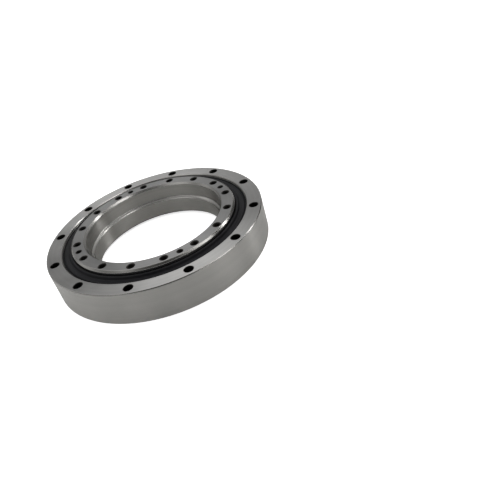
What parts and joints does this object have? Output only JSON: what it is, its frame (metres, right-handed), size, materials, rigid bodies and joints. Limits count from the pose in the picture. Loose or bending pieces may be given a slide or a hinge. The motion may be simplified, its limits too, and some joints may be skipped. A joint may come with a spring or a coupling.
{
  "type": "slewing ring bearing",
  "caption": "Slim crossed-roller slewing ring: a bolted outer ring and a tapped inner ring turn on each other about one axis, with a rubber seal over the front gap.",
  "frame": {"origin": "on the bearing's axis, in the outer ring's back face, the lowest plane of the part", "axes": "+Z along the axis, out of the front face that carries the seal; +X through the centre of one of the outer ring's bolt holes"},
  "size_m": [0.142, 0.142, 0.0244],
  "materials": {
    "ring_steel": "satin ground",
    "inner_ring_steel": "satin ground",
    "roller_steel": "polished",
    "plug_steel": "satin ground",
    "pin_steel": "drawn",
    "cage_polymer": "moulded",
    "seal_rubber": "moulded black rubber, satin"
  },
  "bodies": {
    "outer_ring_body": {"outer_ring": "ring_steel", "front_seal": "seal_rubber", "roller_plug": "plug_steel", "plug_pin": "pin_steel"},
    "inner_ring_body": {"inner_ring": "inner_ring_steel"},
    "cage_body": {"roller_cage": "cage_polymer"},
    "roller_01_body": {"roller_01": "roller_steel"},
    "roller_02_body": {"roller_02": "roller_steel"},
    "roller_03_body": {"roller_03": "roller_steel"},
    "roller_04_body": {"roller_04": "roller_steel"},
    "roller_05_body": {"roller_05": "roller_steel"},
    "roller_06_body": {"roller_06": "roller_steel"},
    "roller_07_body": {"roller_07": "roller_steel"},
    "roller_08_body": {"roller_08": "roller_steel"},
    "roller_09_body": {"roller_09": "roller_steel"},
    "roller_10_body": {"roller_10": "roller_steel"},
    "roller_11_body": {"roller_11": "roller_steel"},
    "roller_12_body": {"roller_12": "roller_steel"},
    "roller_13_body": {"roller_13": "roller_steel"},
    "roller_14_body": {"roller_14": "roller_steel"},
    "roller_15_body": {"roller_15": "roller_steel"},
    "roller_16_body": {"roller_16": "roller_steel"},
    "roller_17_body": {"roller_17": "roller_steel"},
    "roller_18_body": {"roller_18": "roller_steel"},
    "roller_19_body": {"roller_19": "roller_steel"},
    "roller_20_body": {"roller_20": "roller_steel"},
    "roller_21_body": {"roller_21": "roller_steel"},
    "roller_22_body": {"roller_22": "roller_steel"},
    "roller_23_body": {"roller_23": "roller_steel"},
    "roller_24_body": {"roller_24": "roller_steel"},
    "roller_25_body": {"roller_25": "roller_steel"},
    "roller_26_body": {"roller_26": "roller_steel"},
    "roller_27_body": {"roller_27": "roller_steel"},
    "roller_28_body": {"roller_28": "roller_steel"},
    "roller_29_body": {"roller_29": "roller_steel"},
    "roller_30_body": {"roller_30": "roller_steel"},
    "roller_31_body": {"roller_31": "roller_steel"},
    "roller_32_body": {"roller_32": "roller_steel"},
    "roller_33_body": {"roller_33": "roller_steel"},
    "roller_34_body": {"roller_34": "roller_steel"},
    "roller_35_body": {"roller_35": "roller_steel"},
    "roller_36_body": {"roller_36": "roller_steel"},
    "roller_37_body": {"roller_37": "roller_steel"},
    "roller_38_body": {"roller_38": "roller_steel"},
    "roller_39_body": {"roller_39": "roller_steel"},
    "roller_40_body": {"roller_40": "roller_steel"},
    "roller_41_body": {"roller_41": "roller_steel"},
    "roller_42_body": {"roller_42": "roller_steel"},
    "roller_43_body": {"roller_43": "roller_steel"},
    "roller_44_body": {"roller_44": "roller_steel"}
  },
  "joints": [
    {"name": "inner_ring_spin", "type": "hinge", "parent": "outer_ring_body", "child": "inner_ring_body", "pos_m": [0, 0, 0.0105], "axis": [0, 0, 1], "continuous": true},
    {"name": "cage_spin", "type": "hinge", "parent": "outer_ring_body", "child": "cage_body", "pos_m": [0, 0, 0.0105], "axis": [0, 0, 1], "continuous": true},
    {"name": "roller_01_spin", "type": "hinge", "parent": "cage_body", "child": "roller_01_body", "pos_m": [0.055, 0, 0.0105], "axis": [0.7071, 0, 0.7071], "continuous": true},
    {"name": "roller_02_spin", "type": "hinge", "parent": "cage_body", "child": "roller_02_body", "pos_m": [0.05444, 0.00783, 0.0105], "axis": [0.6999, 0.1006, -0.7071], "continuous": true},
    {"name": "roller_03_spin", "type": "hinge", "parent": "cage_body", "child": "roller_03_body", "pos_m": [0.05277, 0.0155, 0.0105], "axis": [0.6785, 0.1992, 0.7071], "continuous": true},
    {"name": "roller_04_spin", "type": "hinge", "parent": "cage_body", "child": "roller_04_body", "pos_m": [0.05003, 0.02285, 0.0105], "axis": [0.6432, 0.2937, -0.7071], "continuous": true},
    {"name": "roller_05_spin", "type": "hinge", "parent": "cage_body", "child": "roller_05_body", "pos_m": [0.04627, 0.02974, 0.0105], "axis": [0.5949, 0.3823, 0.7071], "continuous": true},
    {"name": "roller_06_spin", "type": "hinge", "parent": "cage_body", "child": "roller_06_body", "pos_m": [0.04157, 0.03602, 0.0105], "axis": [0.5344, 0.4631, -0.7071], "continuous": true},
    {"name": "roller_07_spin", "type": "hinge", "parent": "cage_body", "child": "roller_07_body", "pos_m": [0.03602, 0.04157, 0.0105], "axis": [0.4631, 0.5344, 0.7071], "continuous": true},
    {"name": "roller_08_spin", "type": "hinge", "parent": "cage_body", "child": "roller_08_body", "pos_m": [0.02974, 0.04627, 0.0105], "axis": [0.3823, 0.5949, -0.7071], "continuous": true},
    {"name": "roller_09_spin", "type": "hinge", "parent": "cage_body", "child": "roller_09_body", "pos_m": [0.02285, 0.05003, 0.0105], "axis": [0.2937, 0.6432, 0.7071], "continuous": true},
    {"name": "roller_10_spin", "type": "hinge", "parent": "cage_body", "child": "roller_10_body", "pos_m": [0.0155, 0.05277, 0.0105], "axis": [0.1992, 0.6785, -0.7071], "continuous": true},
    {"name": "roller_11_spin", "type": "hinge", "parent": "cage_body", "child": "roller_11_body", "pos_m": [0.00783, 0.05444, 0.0105], "axis": [0.1006, 0.6999, 0.7071], "continuous": true},
    {"name": "roller_12_spin", "type": "hinge", "parent": "cage_body", "child": "roller_12_body", "pos_m": [0, 0.055, 0.0105], "axis": [0, 0.7071, -0.7071], "continuous": true},
    {"name": "roller_13_spin", "type": "hinge", "parent": "cage_body", "child": "roller_13_body", "pos_m": [-0.00783, 0.05444, 0.0105], "axis": [-0.1006, 0.6999, 0.7071], "continuous": true},
    {"name": "roller_14_spin", "type": "hinge", "parent": "cage_body", "child": "roller_14_body", "pos_m": [-0.0155, 0.05277, 0.0105], "axis": [-0.1992, 0.6785, -0.7071], "continuous": true},
    {"name": "roller_15_spin", "type": "hinge", "parent": "cage_body", "child": "roller_15_body", "pos_m": [-0.02285, 0.05003, 0.0105], "axis": [-0.2937, 0.6432, 0.7071], "continuous": true},
    {"name": "roller_16_spin", "type": "hinge", "parent": "cage_body", "child": "roller_16_body", "pos_m": [-0.02974, 0.04627, 0.0105], "axis": [-0.3823, 0.5949, -0.7071], "continuous": true},
    {"name": "roller_17_spin", "type": "hinge", "parent": "cage_body", "child": "roller_17_body", "pos_m": [-0.03602, 0.04157, 0.0105], "axis": [-0.4631, 0.5344, 0.7071], "continuous": true},
    {"name": "roller_18_spin", "type": "hinge", "parent": "cage_body", "child": "roller_18_body", "pos_m": [-0.04157, 0.03602, 0.0105], "axis": [-0.5344, 0.4631, -0.7071], "continuous": true},
    {"name": "roller_19_spin", "type": "hinge", "parent": "cage_body", "child": "roller_19_body", "pos_m": [-0.04627, 0.02974, 0.0105], "axis": [-0.5949, 0.3823, 0.7071], "continuous": true},
    {"name": "roller_20_spin", "type": "hinge", "parent": "cage_body", "child": "roller_20_body", "pos_m": [-0.05003, 0.02285, 0.0105], "axis": [-0.6432, 0.2937, -0.7071], "continuous": true},
    {"name": "roller_21_spin", "type": "hinge", "parent": "cage_body", "child": "roller_21_body", "pos_m": [-0.05277, 0.0155, 0.0105], "axis": [-0.6785, 0.1992, 0.7071], "continuous": true},
    {"name": "roller_22_spin", "type": "hinge", "parent": "cage_body", "child": "roller_22_body", "pos_m": [-0.05444, 0.00783, 0.0105], "axis": [-0.6999, 0.1006, -0.7071], "continuous": true},
    {"name": "roller_23_spin", "type": "hinge", "parent": "cage_body", "child": "roller_23_body", "pos_m": [-0.055, 0, 0.0105], "axis": [-0.7071, 0, 0.7071], "continuous": true},
    {"name": "roller_24_spin", "type": "hinge", "parent": "cage_body", "child": "roller_24_body", "pos_m": [-0.05444, -0.00783, 0.0105], "axis": [-0.6999, -0.1006, -0.7071], "continuous": true},
    {"name": "roller_25_spin", "type": "hinge", "parent": "cage_body", "child": "roller_25_body", "pos_m": [-0.05277, -0.0155, 0.0105], "axis": [-0.6785, -0.1992, 0.7071], "continuous": true},
    {"name": "roller_26_spin", "type": "hinge", "parent": "cage_body", "child": "roller_26_body", "pos_m": [-0.05003, -0.02285, 0.0105], "axis": [-0.6432, -0.2937, -0.7071], "continuous": true},
    {"name": "roller_27_spin", "type": "hinge", "parent": "cage_body", "child": "roller_27_body", "pos_m": [-0.04627, -0.02974, 0.0105], "axis": [-0.5949, -0.3823, 0.7071], "continuous": true},
    {"name": "roller_28_spin", "type": "hinge", "parent": "cage_body", "child": "roller_28_body", "pos_m": [-0.04157, -0.03602, 0.0105], "axis": [-0.5344, -0.4631, -0.7071], "continuous": true},
    {"name": "roller_29_spin", "type": "hinge", "parent": "cage_body", "child": "roller_29_body", "pos_m": [-0.03602, -0.04157, 0.0105], "axis": [-0.4631, -0.5344, 0.7071], "continuous": true},
    {"name": "roller_30_spin", "type": "hinge", "parent": "cage_body", "child": "roller_30_body", "pos_m": [-0.02974, -0.04627, 0.0105], "axis": [-0.3823, -0.5949, -0.7071], "continuous": true},
    {"name": "roller_31_spin", "type": "hinge", "parent": "cage_body", "child": "roller_31_body", "pos_m": [-0.02285, -0.05003, 0.0105], "axis": [-0.2937, -0.6432, 0.7071], "continuous": true},
    {"name": "roller_32_spin", "type": "hinge", "parent": "cage_body", "child": "roller_32_body", "pos_m": [-0.0155, -0.05277, 0.0105], "axis": [-0.1992, -0.6785, -0.7071], "continuous": true},
    {"name": "roller_33_spin", "type": "hinge", "parent": "cage_body", "child": "roller_33_body", "pos_m": [-0.00783, -0.05444, 0.0105], "axis": [-0.1006, -0.6999, 0.7071], "continuous": true},
    {"name": "roller_34_spin", "type": "hinge", "parent": "cage_body", "child": "roller_34_body", "pos_m": [0, -0.055, 0.0105], "axis": [0, -0.7071, -0.7071], "continuous": true},
    {"name": "roller_35_spin", "type": "hinge", "parent": "cage_body", "child": "roller_35_body", "pos_m": [0.00783, -0.05444, 0.0105], "axis": [0.1006, -0.6999, 0.7071], "continuous": true},
    {"name": "roller_36_spin", "type": "hinge", "parent": "cage_body", "child": "roller_36_body", "pos_m": [0.0155, -0.05277, 0.0105], "axis": [0.1992, -0.6785, -0.7071], "continuous": true},
    {"name": "roller_37_spin", "type": "hinge", "parent": "cage_body", "child": "roller_37_body", "pos_m": [0.02285, -0.05003, 0.0105], "axis": [0.2937, -0.6432, 0.7071], "continuous": true},
    {"name": "roller_38_spin", "type": "hinge", "parent": "cage_body", "child": "roller_38_body", "pos_m": [0.02974, -0.04627, 0.0105], "axis": [0.3823, -0.5949, -0.7071], "continuous": true},
    {"name": "roller_39_spin", "type": "hinge", "parent": "cage_body", "child": "roller_39_body", "pos_m": [0.03602, -0.04157, 0.0105], "axis": [0.4631, -0.5344, 0.7071], "continuous": true},
    {"name": "roller_40_spin", "type": "hinge", "parent": "cage_body", "child": "roller_40_body", "pos_m": [0.04157, -0.03602, 0.0105], "axis": [0.5344, -0.4631, -0.7071], "continuous": true},
    {"name": "roller_41_spin", "type": "hinge", "parent": "cage_body", "child": "roller_41_body", "pos_m": [0.04627, -0.02974, 0.0105], "axis": [0.5949, -0.3823, 0.7071], "continuous": true},
    {"name": "roller_42_spin", "type": "hinge", "parent": "cage_body", "child": "roller_42_body", "pos_m": [0.05003, -0.02285, 0.0105], "axis": [0.6432, -0.2937, -0.7071], "continuous": true},
    {"name": "roller_43_spin", "type": "hinge", "parent": "cage_body", "child": "roller_43_body", "pos_m": [0.05277, -0.0155, 0.0105], "axis": [0.6785, -0.1992, 0.7071], "continuous": true},
    {"name": "roller_44_spin", "type": "hinge", "parent": "cage_body", "child": "roller_44_body", "pos_m": [0.05444, -0.00783, 0.0105], "axis": [0.6999, -0.1006, -0.7071], "continuous": true}
  ],
  "couplings": [
    {"joint": "cage_spin", "follows": "inner_ring_spin", "ratio": 0.48072},
    {"joint": "roller_01_spin", "follows": "inner_ring_spin", "ratio": -9.153},
    {"joint": "roller_02_spin", "follows": "inner_ring_spin", "ratio": 9.153},
    {"joint": "roller_03_spin", "follows": "inner_ring_spin", "ratio": -9.153},
    {"joint": "roller_04_spin", "follows": "inner_ring_spin", "ratio": 9.153},
    {"joint": "roller_05_spin", "follows": "inner_ring_spin", "ratio": -9.153},
    {"joint": "roller_06_spin", "follows": "inner_ring_spin", "ratio": 9.153},
    {"joint": "roller_07_spin", "follows": "inner_ring_spin", "ratio": -9.153},
    {"joint": "roller_08_spin", "follows": "inner_ring_spin", "ratio": 9.153},
    {"joint": "roller_09_spin", "follows": "inner_ring_spin", "ratio": -9.153},
    {"joint": "roller_10_spin", "follows": "inner_ring_spin", "ratio": 9.153},
    {"joint": "roller_11_spin", "follows": "inner_ring_spin", "ratio": -9.153},
    {"joint": "roller_12_spin", "follows": "inner_ring_spin", "ratio": 9.153},
    {"joint": "roller_13_spin", "follows": "inner_ring_spin", "ratio": -9.153},
    {"joint": "roller_14_spin", "follows": "inner_ring_spin", "ratio": 9.153},
    {"joint": "roller_15_spin", "follows": "inner_ring_spin", "ratio": -9.153},
    {"joint": "roller_16_spin", "follows": "inner_ring_spin", "ratio": 9.153},
    {"joint": "roller_17_spin", "follows": "inner_ring_spin", "ratio": -9.153},
    {"joint": "roller_18_spin", "follows": "inner_ring_spin", "ratio": 9.153},
    {"joint": "roller_19_spin", "follows": "inner_ring_spin", "ratio": -9.153},
    {"joint": "roller_20_spin", "follows": "inner_ring_spin", "ratio": 9.153},
    {"joint": "roller_21_spin", "follows": "inner_ring_spin", "ratio": -9.153},
    {"joint": "roller_22_spin", "follows": "inner_ring_spin", "ratio": 9.153},
    {"joint": "roller_23_spin", "follows": "inner_ring_spin", "ratio": -9.153},
    {"joint": "roller_24_spin", "follows": "inner_ring_spin", "ratio": 9.153},
    {"joint": "roller_25_spin", "follows": "inner_ring_spin", "ratio": -9.153},
    {"joint": "roller_26_spin", "follows": "inner_ring_spin", "ratio": 9.153},
    {"joint": "roller_27_spin", "follows": "inner_ring_spin", "ratio": -9.153},
    {"joint": "roller_28_spin", "follows": "inner_ring_spin", "ratio": 9.153},
    {"joint": "roller_29_spin", "follows": "inner_ring_spin", "ratio": -9.153},
    {"joint": "roller_30_spin", "follows": "inner_ring_spin", "ratio": 9.153},
    {"joint": "roller_31_spin", "follows": "inner_ring_spin", "ratio": -9.153},
    {"joint": "roller_32_spin", "follows": "inner_ring_spin", "ratio": 9.153},
    {"joint": "roller_33_spin", "follows": "inner_ring_spin", "ratio": -9.153},
    {"joint": "roller_34_spin", "follows": "inner_ring_spin", "ratio": 9.153},
    {"joint": "roller_35_spin", "follows": "inner_ring_spin", "ratio": -9.153},
    {"joint": "roller_36_spin", "follows": "inner_ring_spin", "ratio": 9.153},
    {"joint": "roller_37_spin", "follows": "inner_ring_spin", "ratio": -9.153},
    {"joint": "roller_38_spin", "follows": "inner_ring_spin", "ratio": 9.153},
    {"joint": "roller_39_spin", "follows": "inner_ring_spin", "ratio": -9.153},
    {"joint": "roller_40_spin", "follows": "inner_ring_spin", "ratio": 9.153},
    {"joint": "roller_41_spin", "follows": "inner_ring_spin", "ratio": -9.153},
    {"joint": "roller_42_spin", "follows": "inner_ring_spin", "ratio": 9.153},
    {"joint": "roller_43_spin", "follows": "inner_ring_spin", "ratio": -9.153},
    {"joint": "roller_44_spin", "follows": "inner_ring_spin", "ratio": 9.153}
  ]
}
